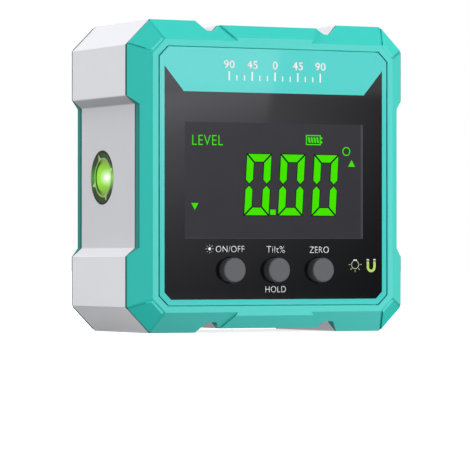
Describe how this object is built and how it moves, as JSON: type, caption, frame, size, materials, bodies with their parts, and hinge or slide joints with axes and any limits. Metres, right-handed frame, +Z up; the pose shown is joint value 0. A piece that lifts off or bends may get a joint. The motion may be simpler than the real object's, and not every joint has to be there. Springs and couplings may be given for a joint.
{
  "type": "digital angle gauge",
  "caption": "Square pocket digital angle gauge: metal body ring with pads, sloped covers, glossy display panel, push buttons, a laser aperture on each side.",
  "frame": {"origin": "middle of the box on the face of the bottom pads", "axes": "+X to the right seen from the front, -Y out of the display, +Z up"},
  "size_m": [0.06, 0.0344, 0.06],
  "materials": {
    "ring_aluminium": "bead blasted, satin",
    "cover_plastic": "fine satin moulding, teal",
    "panel_acrylic": "glossy, printed black and teal, clear window",
    "button_plastic": "satin grey",
    "black_plastic": "matt",
    "lcd_glass": "dark display glass",
    "light_guide": "milky",
    "strip_rubber": "matt",
    "board": "green solder mask",
    "foam_tape": "matt foam",
    "bright_steel": "plated",
    "battery_foil": "foil pouch",
    "bezel_black": "black anodised",
    "laser_lens": "clear lens lit green",
    "barrel_brass": "turned",
    "magnet_steel": "nickel plated",
    "red_lead": "soft insulation",
    "black_lead": "soft insulation"
  },
  "bodies": {
    "case": {"body_ring": "ring_aluminium", "front_cover": "cover_plastic", "rear_cover": "cover_plastic", "front_panel": "panel_acrylic", "panel_tape": "foam_tape", "tact_switches": "black_plastic", "lcd_glass": "lcd_glass", "lcd_backlight": "light_guide", "lcd_frame": "light_guide", "contact_strip": "strip_rubber", "main_board": "board", "board_chips": "black_plastic", "tilt_sensor": "black_plastic", "usb_shell": "bright_steel", "usb_tongue": "black_plastic", "battery": "battery_foil", "battery_pad": "foam_tape", "battery_red_lead": "red_lead", "battery_black_lead": "black_lead", "left_laser_bezel": "bezel_black", "left_laser_lens": "laser_lens", "left_laser_barrel": "barrel_brass", "left_laser_diode": "bright_steel", "left_laser_red_lead": "red_lead", "left_laser_black_lead": "black_lead", "right_laser_bezel": "bezel_black", "right_laser_lens": "laser_lens", "right_laser_barrel": "barrel_brass", "right_laser_diode": "bright_steel", "right_laser_red_lead": "red_lead", "right_laser_black_lead": "black_lead", "magnets": "magnet_steel", "front_screws": "bright_steel", "rear_screws": "bright_steel", "board_screws": "bright_steel"},
    "power_key": {"power_button": "button_plastic", "power_plunger": "black_plastic"},
    "tilt_key": {"tilt_button": "button_plastic", "tilt_plunger": "black_plastic"},
    "zero_key": {"zero_button": "button_plastic", "zero_plunger": "black_plastic"}
  },
  "joints": [
    {"name": "power_press", "type": "slide", "parent": "case", "child": "power_key", "axis": [0, 1, 0], "range_m": [0, 0.0005], "stiffness_N_per_m": 1600},
    {"name": "tilt_press", "type": "slide", "parent": "case", "child": "tilt_key", "axis": [0, 1, 0], "range_m": [0, 0.0005], "stiffness_N_per_m": 1600},
    {"name": "zero_press", "type": "slide", "parent": "case", "child": "zero_key", "axis": [0, 1, 0], "range_m": [0, 0.0005], "stiffness_N_per_m": 1600}
  ]
}
